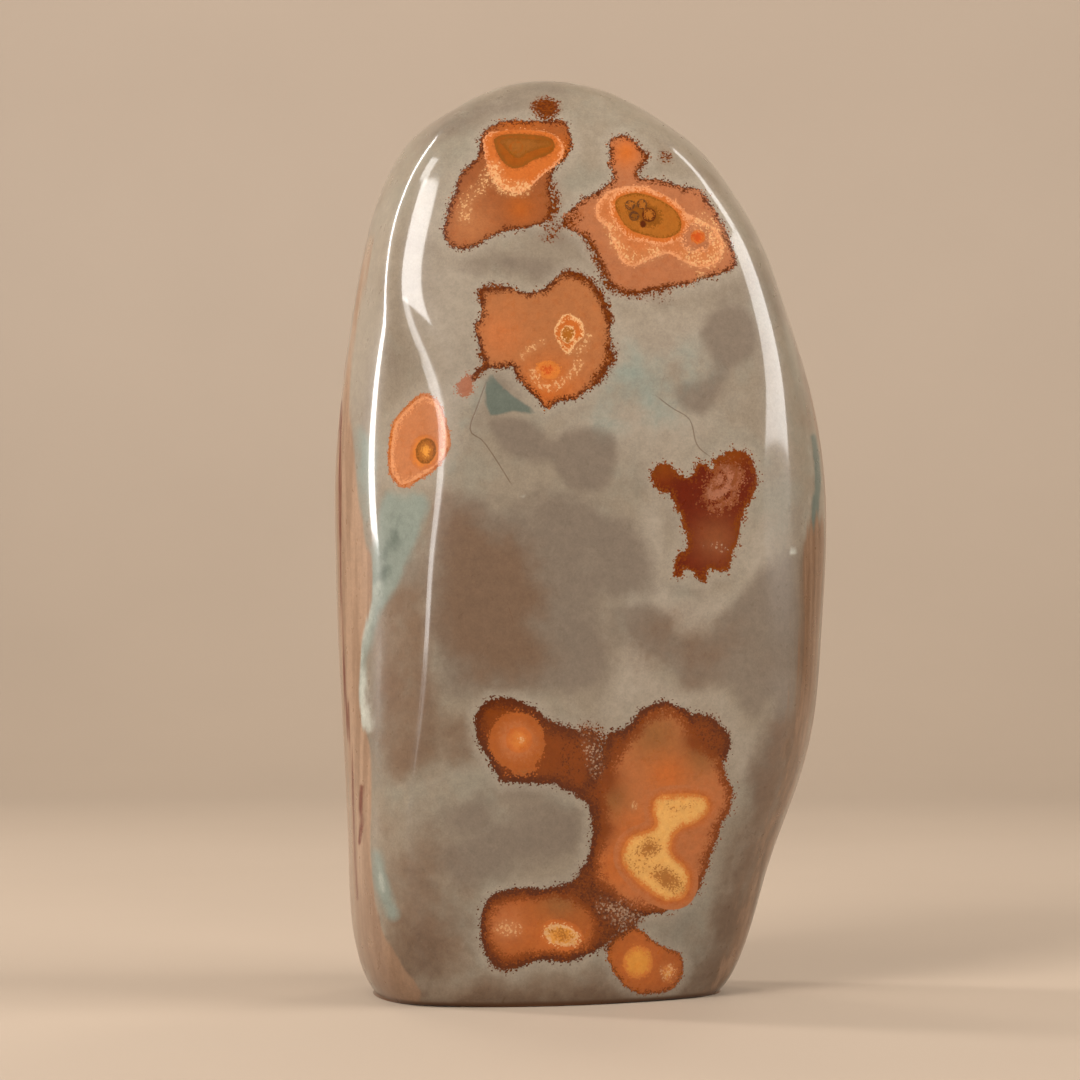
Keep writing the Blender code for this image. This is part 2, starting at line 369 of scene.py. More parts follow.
MIDDLE_BANK = [
    (440, 520), (470, 488), (505, 508), (552, 486), (596, 512), (625, 520), (645, 545), (655, 570),
    (650, 590), (628, 598), (600, 594), (590, 610), (600, 630), (610, 655), (604, 685), (580, 694),
    (500, 690), (440, 690), (430, 600),
]
LOW_BANK = [
    (440, 850), (480, 832), (520, 815), (545, 806), (565, 810), (578, 822), (580, 836), (570, 850),
    (550, 860), (520, 866), (490, 878), (460, 890), (445, 880),
]
MIDDLE_BROWN = [
    (445, 500), (500, 530), (540, 560), (540, 620), (548, 660), (510, 680), (460, 670), (440, 640),
    (436, 560),
]
LEFT_BROWN = [
    (378, 600), (425, 590), (440, 700), (470, 720), (480, 760), (440, 772), (400, 783), (380, 770),
    (374, 700),
]
UPPER_VEIN = [
    (655, 500), (668, 540), (664, 580), (690, 600), (735, 585), (742, 560), (760, 520), (770, 560),
    (740, 600), (715, 625), (690, 634), (668, 620), (648, 600), (652, 560), (640, 530),
]
LOWER_VEIN = [
    (628, 640), (655, 668), (690, 694), (720, 690), (745, 724), (762, 726), (750, 780), (730, 760),
    (720, 710), (690, 702), (650, 700), (625, 715), (600, 720), (608, 690), (618, 660),
]
LEFT_TEAL = [
    (388, 492), (410, 492), (427, 498), (422, 522), (414, 548), (404, 572), (394, 590), (384, 606),
    (374, 632), (366, 662), (360, 700), (358, 690), (360, 650), (368, 606), (371, 575), (372, 550),
    (378, 520),
]
EDGE_TEAL = [(357, 430), (372, 440), (374, 480), (370, 530), (366, 540), (360, 500)]
LEFT_SLATE = [(392, 506), (418, 512), (404, 548), (384, 590), (376, 580), (380, 540)]
SLATE_WEDGE = [
    (489, 374), (500, 384), (515, 396), (534, 412), (512, 411), (491, 414), (486, 395),
]
LEFT_BEDDING = [
    (320, 250), (372, 225), (364, 290), (354, 350), (350, 410), (356, 470), (361, 510), (367, 545),
    (371, 560), (371, 600), (363, 640), (358, 690), (362, 722), (371, 760), (371, 850), (375, 900),
    (385, 935), (402, 965), (420, 992), (400, 1020), (325, 1020),
]
RIGHT_BEDDING = [
    (800, 545), (840, 530), (840, 780), (800, 900), (750, 1020), (700, 1020), (722, 960), (748, 880),
    (775, 800), (788, 740), (796, 640),
]

# By kind: the place, the millimetres over which its edge fades, and the strength
CLOUDS = {
    "dark": [
        (BOW_TIE, 1.5, 1.0), (RIGHT_HOOK, 1.3, 0.9), (RIGHT_BANK, 1.8, 0.9),
        (MIDDLE_BANK, 3.0, 0.9), (LOW_BANK, 3.0, 1.0), (Oval(464, 818, 34, 22), 3.0, 0.8),
        (Oval(510, 264, 52, 13, 8), 2.0, 0.8),
        # Painted shade: a darker band down the lower right edge
        (Line([(784, 570), (788, 640), (780, 720), (768, 790)], 16), 3.0, 1.0),
    ],
    "brown": [
        (MIDDLE_BROWN, 5.0, 1.0), (LEFT_BROWN, 2.5, 0.8),
        (Oval(425, 920, 38, 80, -14), 6.0, 0.9), (Oval(560, 1000, 220, 24), 4.0, 0.9),
        (Line([(778, 730), (768, 800), (742, 880), (712, 990)], 16), 3.0, 0.9),
        (Line([(800, 250), (812, 330), (816, 420)], 10), 2.5, 0.8),
        (Oval(690, 650, 70, 40), 5.0, 0.5),
    ],
    # Painted shade: darker rock at the lower corners and along the foot
    "shade": [
        (Oval(415, 965, 30, 40, -30), 4.0, 0.8), (Oval(735, 930, 22, 90, 20), 4.0, 0.9),
        (Oval(560, 1012, 240, 16), 3.0, 0.9),
    ],
    "pale": [
        (Oval(650, 340, 90, 60, -20), 7.0, 0.6), (Oval(650, 425, 90, 36), 5.0, 0.8),
        # Painted reflection: the two tall ovals here paint the soft glow beside the inner left
        # highlight and the pale sheen along the upper left edge
        (Oval(450, 320, 30, 90), 5.0, 0.8), (Oval(362, 320, 20, 150, 6), 3.0, 1.0),
        (UPPER_VEIN, 2.4, 0.9), (LOWER_VEIN, 2.5, 0.8),
        (Line([(392, 500), (380, 540), (378, 572)], 3.0), 1.2, 0.6),
        (Line([(650, 560), (634, 592), (636, 640), (648, 690)], 7), 2.0, 1.0),
        (Line([(398, 786), (440, 780), (482, 762)], 3), 1.2, 0.5),
    ],
    "teal": [
        (LEFT_TEAL, 1.4, 1.0), (EDGE_TEAL, 1.6, 0.8),
        (Line([(480, 384), (470, 410), (462, 430), (452, 470)], 5), 1.6, 0.5),
        (Line([(376, 855), (382, 885), (392, 912)], 7), 1.2, 0.9),
        (Oval(640, 385, 60, 40), 8.0, 0.6),
    ],
    "slate": [
        (SLATE_WEDGE, 0.5, 1.0),
        (Line([(814, 436), (818, 470), (816, 505), (812, 540)], 3.5), 0.7, 1.0),
        (LEFT_SLATE, 2.2, 0.55),
    ],
    "chalk": [
        (Line([(808, 436), (811, 470), (808, 505), (806, 540)], 2.0), 0.9, 0.45),
        (Line([(374, 589), (364, 625), (359, 656), (362, 690), (366, 722)], 5), 2.4, 0.75),
        (Line([(376, 858), (383, 890)], 2.5), 1.0, 0.6),
        (Line([(400, 584), (410, 568)], 0.8), 0.4, 0.5),
        (Line([(396, 918), (428, 948), (448, 966)], 1), 0.6, 0.35),
        (Oval(553, 461, 2, 2), 0.5, 0.9), (Oval(520, 494, 6, 2, 30), 0.6, 0.6),
        (Oval(793, 551, 3, 3), 0.6, 0.9),
    ],
    "skin": [
        (LEFT_BEDDING, 0.7, 1.0), (RIGHT_BEDDING, 3.0, 1.0),
    ],
}

# Grains strewn over the rock: dark red-brown "moss" round the patches, pale "crumb", and
# "cream" and "ochre" in the rings
GRAINS = {
    "moss": [
        (Oval(546, 108, 13, 10), 0.7, 1.2),
        (Line([(552, 186), (556, 202), (550, 220)], 4), 0.8, 0.9),
        (Line([(548, 226), (562, 226), (578, 216)], 3), 1.0, 0.8),
        (Oval(552, 236, 8, 4, 10), 0.9, 0.5),
        (Line([(586, 236), (600, 266), (612, 288), (640, 294), (668, 288)], 3), 0.8, 0.9),
        (Oval(657, 299, 12, 4), 0.8, 0.4),
        (Line([(646, 152), (642, 166), (636, 174)], 2), 0.7, 0.8),
        (Oval(666, 157, 5, 5), 0.7, 0.8),
        (Line([(568, 273), (590, 282), (603, 300), (609, 318)], 3), 0.8, 0.9),
        (Line([(611, 348), (608, 364), (597, 378)], 4), 1.0, 0.9),
        (Line([(482, 300), (484, 290), (500, 288)], 3), 0.7, 0.8),
        (Line([(480, 352), (486, 366), (478, 376)], 2), 0.6, 0.8), (BRIDGE, 0.8, 0.95),
        (Line([(586, 730), (604, 745), (598, 770), (586, 790)], 7), 1.2, 0.9),
        (Line([(600, 800), (600, 830), (596, 860)], 3), 1.0, 0.8),
        (Line([(556, 730), (574, 742), (566, 780)], 6), 2.0, 0.5),
        (Oval(505, 963, 12, 6), 0.8, 0.7), (Oval(712, 736, 12, 18, -20), 1.5, 0.6),
        (Line([(598, 800), (604, 770), (618, 746), (632, 728)], 3), 1.4, 0.5),
    ],
    "crumb": [
        (Oval(592, 752, 6, 16, -15), 1.2, 0.5), (Oval(619, 912, 18, 10, 25), 1.2, 0.45),
        (Oval(718, 547, 8, 3, 10), 0.8, 0.4),
    ],
    "cream": [
        (Line([(494, 168), (498, 180), (508, 188), (524, 188)], 5), 1.0, 0.8),
        (Line([(464, 216), (468, 200), (480, 188), (488, 176)], 4), 1.2, 0.5),
        (Line([(689, 258), (708, 260), (719, 247), (714, 230), (700, 221)], 6), 1.2, 0.45),
        (Line([(610, 228), (620, 248), (636, 258), (656, 252)], 5), 1.0, 0.35),
        (Line([(522, 356), (534, 346), (543, 342)], 1.5), 0.7, 0.6),
        (Line([(534, 372), (541, 384), (555, 386), (570, 376), (580, 362)], 2.5), 0.9, 0.6),
        (Line([(572, 352), (584, 348), (588, 336)], 2), 0.8, 0.5),
        (Oval(508, 929, 9, 6), 0.9, 0.55), (Oval(668, 972, 6, 7), 0.9, 0.5),
        (Oval(634, 806, 2, 3), 0.4, 0.9), (Oval(701, 275, 3, 2), 0.4, 0.9),
    ],
    "ochre": [
        (Oval(649, 848, 9, 7, -25), 1.0, 1.1), (Oval(667, 879, 14, 8, 35), 1.0, 1.1),
        (Oval(638, 862, 12, 10, 35), 1.2, 0.35), (Oval(562, 935, 8, 4, 20), 0.8, 0.85),
        (Oval(682, 808, 16, 8), 1.4, 0.25),
    ],
}

# Dark red-brown seams in the bedding of the left side
LONG_SEAM = [(341, 400), (340, 450), (340, 520), (341, 600), (345, 690), (349, 740)]
SEAMS = {
    "seam": [
        (Line(LONG_SEAM, 0.5), 0.4, 1.0),
        (Line([(348, 700), (352, 780), (355, 850), (358, 900)], 0.4), 0.4, 0.9),
        (Line([(362, 786), (361, 806), (362, 822), (360, 842)], 0.9), 0.4, 1.1),
    ],
}

# The healed cracks, the millimetres beside one that count as its own, and how it fades
# towards its ends
CRACKS = [
    [(487, 380), (478, 405), (470, 430), (482, 440), (493, 455), (505, 474), (513, 487)],
    [(655, 395), (672, 408), (690, 420), (697, 445), (712, 458)],
    [(508, 605), (512, 618)],
    [(765, 687), (772, 693)],
]
CRACK_REACH = 0.8
CRACK_FADE = 1.0
CRACK_END = 0.3

# How much the rock faces the camera where placed clouds are whole, and where the sides
# show bedding: how far sideways they face, and up to which height in millimetres
TURNING = 0.3
SIDEWAYS = 0.62
SIDEWAYS_FADE = 0.25
BEDDING_TOP = 130
BEDDING_FADE = 30


def seen_by_camera(points):
    """Where these points, in millimetres, lie in the photograph, in pixels."""
    away = (points[:, 1] - CAMERA_PLACE.y / MM)[:, None]
    flat = points[:, [0, 2]] - np.array([CAMERA_PLACE.x, CAMERA_PLACE.z]) / MM
    return FRAME_MIDDLE + LENS_PIXELS * flat / away * [1, -1]


def rounded(outline, closed=True):
    """A smooth curve through the points, a Catmull-Rom spline."""
    points = np.array(outline, float)
    count = len(points)
    curve = []
    for i in range(count if closed else count - 1):
        around = [i + step for step in (-1, 0, 1, 2)]
        if closed:
            a, b, c, d = (points[k % count] for k in around)
        else:
            a, b, c, d = (points[min(max(k, 0), count - 1)] for k in around)
        for step in range(OUTLINE_STEPS):
            t = step / OUTLINE_STEPS
            bend = (2 * a - 5 * b + 4 * c - d) * t**2 + (3 * b - a - 3 * c + d) * t**3
            curve.append((2 * b + (c - a) * t + bend) / 2)
    if not closed:
        curve.append(points[-1])
    return np.array(curve)


def to_segments(places, starts, ends):
    """How far each place is from the nearest segment, and on which side of it."""
    best = np.full(len(places), np.inf)
    side = np.zeros(len(places))
    for a, b in zip(starts, ends):
        along = b - a
        offset = places - a
        share = np.clip(offset @ along / max(along @ along, TINY), 0, 1)
        gap = np.linalg.norm(offset - share[:, None] * along, axis=1)
        nearer = gap < best
        best[nearer] = gap[nearer]
        cross = along[0] * offset[:, 1] - along[1] * offset[:, 0]
        side[nearer] = np.sign(cross[nearer])
    return best, side


def to_outline(places, outline):
    """Pixels to an outline, negative inside it."""
    curve = rounded(outline)
    following = np.roll(curve, -1, axis=0)
    gap, _ = to_segments(places, curve, following)
    inside = np.zeros(len(places), bool)
    for (ax, ay), (bx, by) in zip(curve, following):
        if ay == by:
            continue
        spans = (ay > places[:, 1]) != (by > places[:, 1])
        crossing = ax + (places[:, 1] - ay) * (bx - ax) / (by - ay)
        inside ^= spans & (places[:, 0] < crossing)
    return np.where(inside, -gap, gap)


def to_oval(places, oval):
    """Pixels to an oval's edge, negative inside it."""
    angle = math.radians(oval.tilt)
    x = places[:, 0] - oval.x
    y = places[:, 1] - oval.y
    along = (x * math.cos(angle) + y * math.sin(angle)) / oval.along
    across = (-x * math.sin(angle) + y * math.cos(angle)) / oval.across
    return (np.hypot(along, across) - 1) * min(oval.along, oval.across)


def to_line(places, line):
    """Pixels to a line's edge, negative inside it."""
    curve = rounded(line.points, closed=False)
    gap, _ = to_segments(places, curve[:-1], curve[1:])
    return gap - line.half_width


def to_ball(points, ball):
    """Millimetres to the lumpy ball's surface, negative inside it."""
    gap = np.linalg.norm(points - np.array([ball.x, ball.y, ball.z]), axis=1)
    lumps = np.zeros(len(points))
    for i in np.flatnonzero(gap < ball.radius * LUMP_REACH):
        lumps[i] = noise.noise(Vector(points[i] * LUMP_DENSITY)) * LUMP_SIZE
    return gap * (1 + lumps) - ball.radius


def vertex_vectors(mesh, name):
    values = np.empty(len(mesh.vertices) * 3, np.float32)
    mesh.vertices.foreach_get(name, values)
    return values.reshape(-1, 3).astype(float)


class Surface:
    """The fine mesh's vertices: where they are, how they face, and how far from a mark."""

    def __init__(self, mesh):
        self.mesh = mesh
        self.points = vertex_vectors(mesh, "co") / MM
        self.normals = vertex_vectors(mesh, "normal")
        to_camera = np.array(CAMERA_PLACE) / MM - self.points
        to_camera /= np.linalg.norm(to_camera, axis=1)[:, None]
        self.facing = np.einsum("ij,ij->i", self.normals, to_camera)
        self.places = seen_by_camera(self.points)

    def gap(self, place):
        """Millimetres from each vertex to the edge of a place, negative inside it."""
        if isinstance(place, Ball):
            return to_ball(self.points, place)
        margin = FAR / MM_PER_PIXEL
        if isinstance(place, Oval):
            reach = max(place.along, place.across)
            low = np.array([place.x, place.y]) - reach
            high = low + 2 * reach
        else:
            corners = np.array(place.points if isinstance(place, Line) else place)
            low = corners.min(axis=0)
            high = corners.max(axis=0)
        near = ((self.places > low - margin) & (self.places < high + margin)).all(axis=1)
        near &= self.facing > 0
        ways = {Oval: to_oval, Line: to_line}
        gaps = np.full(len(self.points), FAR)
        way = ways.get(type(place), to_outline)
        gaps[near] = np.minimum(way(self.places[near], place) * MM_PER_PIXEL, FAR)
        return gaps

    def put(self, name, values):
        """Stores a number or a colour for each vertex."""
        values = np.asarray(values, np.float32)
        if values.ndim == 1:
            layer = self.mesh.attributes.new(name, "FLOAT", "POINT")
            layer.data.foreach_set("value", values)
        else:
            layer = self.mesh.attributes.new(name, "FLOAT_COLOR", "POINT")
            layer.data.foreach_set("color", values.ravel())


def add_object(name, data):
    """A new object in the scene."""
    added = bpy.data.objects.new(name, data)
    bpy.context.scene.collection.objects.link(added)
    return added


def smooth_stone(coarse):
    """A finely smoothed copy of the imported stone's mesh."""
    shape = bmesh.new()
    shape.from_mesh(coarse.data)
    bmesh.ops.remove_doubles(shape, verts=shape.verts, dist=WELD)
    bmesh.ops.join_triangles(
        shape, faces=shape.faces, angle_face_threshold=math.pi,
        angle_shape_threshold=math.pi, topology_influence=KEEP_QUADS,
    )
    mesh = bpy.data.meshes.new("jasper")
    shape.to_mesh(mesh)
    shape.free()
    mesh.materials.clear()
    stone = add_object("jasper", mesh)
    smoothing = stone.modifiers.new("polish", "SUBSURF")
    smoothing.levels = smoothing.render_levels = SMOOTHING_STEPS
    bpy.context.view_layer.update()
    graph = bpy.context.evaluated_depsgraph_get()
    stone.data = bpy.data.meshes.new_from_object(stone.evaluated_get(graph))
    stone.modifiers.clear()
    return stone


def cut_finer(mesh, marks):
    """Cuts the faces that carry a pattern into smaller ones."""
    surface = Surface(mesh)
    nearest = np.min([surface.gap(mark.place) for mark in marks if mark.layer == 0], axis=0)
    patterned = nearest < FINE_REACH
    shape = bmesh.new()
    shape.from_mesh(mesh)
    shape.verts.ensure_lookup_table()
    edges = [edge for edge in shape.edges if all(patterned[vert.index] for vert in edge.verts)]
    bmesh.ops.subdivide_edges(shape, edges=edges, cuts=FINE_CUTS, smooth=1.0, use_grid_fill=True)
    shape.to_mesh(mesh)
    shape.free()
    mesh.shade_smooth()


def hidden_marks():
    """Each hidden ball and the bands inside it, light and dark by turns."""
    marks = []
    for number, ball in enumerate(HIDDEN_BALLS):
        ring = ball._replace(radius=ball.radius * RING_SHARE)
        core = ball._replace(radius=ball.radius * CORE_SHARE)
        if number % 2:
            swell = ball.radius * RING_SWELL
            marks.append(Mark(0, ball, RUST, DARK_RUST, 0.9, 0.9))
            marks.append(Mark(1, ring, SALMON, SIENNA, 1.6, 1.0, swell))
            marks.append(Mark(2, core, YELLOW, BRIGHT, 0.8, 0.4))
        else:
            fill = LIGHT_FILLS[number % len(LIGHT_FILLS)]
            marks.append(Mark(0, ball, fill, RUST, 0.9, 0.9))
            marks.append(Mark(1, ring, SALMON, CREAM, 0.9, 0.5))
            marks.append(Mark(2, core, OCHRE, OLIVE, 0.5, 0.3))
    return marks


def add_tints(surface, tints, nearest, fill):
    """Blends the tints into the colours of a layer's marks."""
    inside = (surface.facing > 0) & (nearest < TINT_MARGIN)
    for x, y, radius, colour in tints:
        reach = np.linalg.norm(surface.places - (x, y), axis=1) / radius
        share = (np.exp(-reach**2) * inside)[:, None]
        fill[:, :3] = fill[:, :3] * (1 - share) + np.array(colour) * share


def draw_marks(surface, marks):
    """Stores each layer's distance to its nearest mark and that mark's colours, and returns
    the number of layers."""
    count = len(surface.points)
    layers = 1 + max(mark.layer for mark in marks)
    for layer in range(layers):
        nearest = np.full(count, FAR)
        fill = np.zeros((count, 4))
        rim = np.zeros((count, 4))
        for mark in marks:
            if mark.layer != layer:
                continue
            gap = surface.gap(mark.place) - mark.grow
            nearer = gap < nearest
            nearest[nearer] = gap[nearer]
            fill[nearer] = [*mark.fill, mark.ragged]
            rim[nearer] = [*mark.rim, mark.width]
        add_tints(surface, TINTS.get(layer, []), nearest, fill)
        surface.put(f"gap_{layer}", nearest)
        surface.put(f"fill_{layer}", fill)
        surface.put(f"rim_{layer}", rim)
    return layers


def side_skin(surface):
    """How far the sides, which the camera hardly sees, show their bedding."""
    sideways = (np.abs(surface.normals[:, 0]) - SIDEWAYS) / SIDEWAYS_FADE
    low = (BEDDING_TOP - surface.points[:, 2]) / BEDDING_FADE
    return np.clip(sideways, 0, 1) * np.clip(low, 0, 1)


def draw_clouds(surface, kinds):
    """How much of each kind of cloud there is at every vertex."""
    fronting = np.clip(surface.facing / TURNING, 0, 1)
    for kind, clouds in kinds.items():
        total = np.zeros(len(surface.points))
        for place, fade, strength in clouds:
            share = np.clip(0.5 - surface.gap(place) / fade / 2, 0, 1)
            total = np.maximum(total, share * strength)
        if kind != "seam":
            total *= fronting
        if kind == "skin":
            total = np.maximum(total, side_skin(surface) * (1 - fronting))
        surface.put(kind, total)
    surface.put("front", fronting)


def draw_cracks(surface):
    """The signed millimetres to the nearest crack, and how deep it is."""
    gap = np.full(len(surface.points), FAR)
    side = np.ones(len(surface.points))
    depth = np.zeros(len(surface.points))
    for crack in CRACKS:
        curve = rounded(crack, closed=False)
        near, which = to_segments(surface.places, curve[:-1], curve[1:])
        near *= MM_PER_PIXEL
        closer = (near < gap) & (surface.facing > 0)
        gap[closer] = near[closer]
        side[closer] = which[closer]
        depth[closer] = near[closer] < CRACK_REACH
    for crack in CRACKS:
        for end in (crack[0], crack[-1]):
            reach = np.linalg.norm(surface.places - end, axis=1) * MM_PER_PIXEL
            depth *= np.clip(reach / CRACK_FADE - CRACK_END, 0, 1)
    surface.put("crack", gap * side)
    surface.put("crack_depth", depth)


# Noise: its lumps in millimetres, how fine its detail is, and how rough
Noise = namedtuple("Noise", "size detail roughness", defaults=[0.5])
CLOUD_WARP = Noise(7.0, 5.0, 0.6)
DRIFT = Noise(20.0, 3.0)
HAZE = Noise(6.0, 5.0, 0.65)
MIST_BANKS = Noise(11.0, 5.0, 0.6)
STREAKS = Noise(2.2, 4.0, 0.6)
STRANDS = Noise(3.6, 5.0, 0.7)
SEAM_BREAKS = Noise(1.6, 4.0, 0.7)
EDGE_WAVE = Noise(2.6, 4.0, 0.6)
BLUSH_SPOTS = Noise(1.3, 5.0, 0.7)
MOTTLE = Noise(1.6, 5.0, 0.7)
GLOSS_CHANGES = Noise(2.5, 3.0)
RIPPLES = Noise(6.0, 2.0)
FLOOR_TONE = Noise(60.0, 3.0)

# Grains in the patches, and those strewn over them, in millimetres
GRAIN_SIZE = 0.26
SPECK_SIZE = 0.3


class Material:
    """Short ways to add nodes to one material."""

    def __init__(self, name):
        self.material = bpy.data.materials.new(name)
        self.material.use_nodes = True
        self.tree = self.material.node_tree
        self.place = self.add("TexCoord").outputs["Object"]

    def finish(self, inputs):
        """The material, whose surface has these inputs."""
        for name, value in inputs.items():
            self.link(value, self.tree.nodes["Principled BSDF"].inputs[name])
        return self.material

    def add(self, kind, inputs=(), **settings):
        node = self.tree.nodes.new("ShaderNode" + kind)
        for name, value in settings.items():
            setattr(node, name, value)
        for socket, value in dict(inputs).items():
            self.link(value, node.inputs[socket])
        return node

    def link(self, value, socket):
        """Joins a socket to another, or sets it to a number or a colour."""
        if isinstance(value, bpy.types.NodeSocket):
            self.tree.links.new(value, socket)
        elif isinstance(value, (list, tuple)) and len(value) < len(socket.default_value):
            socket.default_value = (*value, 1.0)
        else:
            socket.default_value = value

    def math(self, operation, a, b=0.0):
        return self.add("Math", {0: a, 1: b}, operation=operation).outputs[0]

    def times(self, a, b):
        return self.math("MULTIPLY", a, b)

    def plus(self, a, b, times=1.0):
        """a + b * times."""
        node = self.add("Math", {0: b, 1: times, 2: a}, operation="MULTIPLY_ADD")
        return node.outputs[0]

    def centred(self, value):
        """A value of 0 to 1, moved to -0.5 to 0.5."""
        return self.math("SUBTRACT", value, 0.5)

    def step(self, value, low, high):
        """0 below low and 1 above high, smooth between, or turned round if low > high."""
        inputs = {"Value": value, "From Min": low, "From Max": high}
        return self.add("MapRange", inputs, interpolation_type="SMOOTHSTEP").outputs[0]

    def mix(self, share, a, b, kind="MIX"):
        node = self.add("Mix", {0: share}, data_type="RGBA", blend_type=kind)
        self.link(a, node.inputs[6])
        self.link(b, node.inputs[7])
        return node.outputs[2]

    def read(self, name):
        """What the vertices hold under this name."""
        return self.add("Attribute", attribute_name=name)

    def number(self, name):
        return self.read(name).outputs["Fac"]

    def noise(self, kind, place=None):
        """Soft noise from 0 to 1."""
        inputs = {"Vector": place or self.place, "Scale": 1.0 / (kind.size * MM),
                  "Detail": kind.detail, "Roughness": kind.roughness}
        return self.add("TexNoise", inputs).outputs[0]

    def grains(self, size):
        """Two random numbers from 0 to 1 for each grain of this many millimetres."""
        inputs = {"Vector": self.place, "Scale": 1.0 / (size * MM)}
        colour = self.add("TexVoronoi", inputs).outputs["Color"]
        parts = self.add("SeparateColor", {0: colour})
        return parts.outputs[0], parts.outputs[1]

    def stretched_up(self, times):
        """The place, with noise drawn out upwards this many times."""
        inputs = {0: self.place, 1: (1.0, 1.0, 1.0 / times)}
        return self.add("VectorMath", inputs, operation="MULTIPLY").outputs[0]

    def along(self, axis):
        """The place along one axis, 0 to 2, in metres."""
        return self.add("SeparateXYZ", {0: self.place}).outputs[axis]


# The grey rock's own clouds: the noise at which each starts and is whole. The front,
# whose clouds are placed, has half of them.
DARK_DRIFT = (-0.02, 0.14)
BROWN_DRIFT = (-0.06, -0.2)
PALE_HAZE = (0.0, 0.25)
MIST_RANGE = (0.45, 0.65)
MIST_SHARE = 0.3
CALM_FRONT = 0.5

# The placed clouds, lowest first: kind, colour, how much of it shows, and the amounts at
# which it starts and is whole
CLOUD_COLOURS = [
    # Pale grey, also used for painted sheen on the upper left
    ("pale", PALE_GREY, 0.9, 0.0, 1.0),
    ("dark", DARK_GREY, 0.95, 0.15, 0.85),
    ("brown", BROWN, 0.9, 0.1, 0.95),
    # Painted shade at the lower corners and the foot
    ("shade", SHADE, 0.8, 0.1, 0.95),
    ("teal", TEAL, 0.85, 0.15, 0.8),
    ("slate", SLATE, 0.95, 0.3, 0.7),
    ("chalk", CHALK, 0.95, 0.2, 0.8),
]
WARP_START = (0.0, 0.3)
WARP_REACH = 1.3

# The pale halo round a patch, over these millimetres, and how much of it shows
HALO_RANGE = (2.6, 0.4)
HALO_WARP = 3.0
HALO_SHARE = 0.5


def grey_rock(mat):
    """The rock between the patches: its clouds, some of them painted shade and sheen, and a pale
    halo round each patch.
    """
    warp = mat.centred(mat.noise(CLOUD_WARP))
    wild = mat.math("SUBTRACT", 1.0, mat.times(mat.number("front"), CALM_FRONT))
    drift = mat.times(mat.centred(mat.noise(DRIFT)), wild)
    colour = mat.mix(mat.step(drift, *DARK_DRIFT), GREY, DARK_GREY)
    colour = mat.mix(mat.step(drift, *BROWN_DRIFT), colour, BROWN)
    haze = mat.times(mat.centred(mat.noise(HAZE)), wild)
    colour = mat.mix(mat.step(haze, *PALE_HAZE), colour, PALE_GREY)
    mist = mat.times(mat.step(mat.noise(MIST_BANKS), *MIST_RANGE), MIST_SHARE)
    colour = mat.mix(mist, colour, MIST)
    for kind, target, share, low, high in CLOUD_COLOURS:
        near = mat.number(kind)
        moved = mat.times(warp, mat.step(near, *WARP_START))
        reach = mat.step(mat.plus(near, moved, WARP_REACH), low, high)
        colour = mat.mix(mat.times(reach, share), colour, target)
    halo = mat.step(mat.plus(mat.number("gap_0"), warp, HALO_WARP), *HALO_RANGE)
    return mat.mix(mat.times(halo, HALO_SHARE), colour, PALE_GREY)


# The bedding's streaks, drawn out along the stone. The sides change over at the middle,
# and the left gets browner towards the foot, in metres.
BEDDING_STRETCH = 16.0
STREAK_RANGE = (0.40, 0.62)
STRAND_RANGE = (0.45, 0.66)
SIDES_CHANGE = (-0.01, 0.01)
BROWN_FOOT = (0.03, 0.0)
BROWN_FOOT_SHARE = 0.7
LEFT_STREAKS = 0.45
RIGHT_STREAKS = 0.35
RIGHT_STRANDS = 0.85
SKIN_FRAY = 0.25
SKIN_RANGE = (0.3, 0.7)
SEAM_FRAY = 1.4
SEAM_RANGE = (0.2, 0.6)
SEAM_START = (0.02, 0.2)


def tan_skin(mat, colour):
    """The streaked bedding on the sides, tan on the left and brown on the right."""
    place = mat.stretched_up(BEDDING_STRETCH)
    streaks = mat.step(mat.noise(STREAKS, place), *STREAK_RANGE)
    left = mat.mix(mat.times(streaks, LEFT_STREAKS), TAN, BARK)
    brown_foot = mat.times(mat.step(mat.along(2), *BROWN_FOOT), BROWN_FOOT_SHARE)
    left = mat.mix(brown_foot, left, BARK)
    right = mat.mix(mat.times(streaks, RIGHT_STREAKS), BARK, TAN)
    strands = mat.step(mat.noise(STRANDS, place), *STRAND_RANGE)
    right = mat.mix(mat.times(strands, RIGHT_STRANDS), right, SHADE)
    skin = mat.mix(mat.step(mat.along(0), *SIDES_CHANGE), left, right)
    amount = mat.plus(mat.number("skin"), mat.centred(streaks), SKIN_FRAY)
    colour = mat.mix(mat.step(amount, *SKIN_RANGE), colour, skin)
    broken = mat.centred(mat.noise(SEAM_BREAKS, place))
    near = mat.number("seam")
    seam = mat.step(mat.plus(near, broken, SEAM_FRAY), *SEAM_RANGE)
    seam = mat.times(seam, mat.step(near, *SEAM_START))
    return mat.mix(seam, colour, RED_BROWN)


# How the edge of a mark as ragged as 1 frays, in millimetres: waves, stray grains, and
# the edge's own grain
EDGE_WAVES = 1.5
STRAY_GRAINS = -1.1
STRAY_RARITY = 6.0
EDGE_GRAIN = 0.5
EDGE_RANGE = (0.1, -0.1)
RIM_WAVES = 1.0
RIM_GRAIN = 0.6
RIM_RANGE = (-1.8, -0.35)


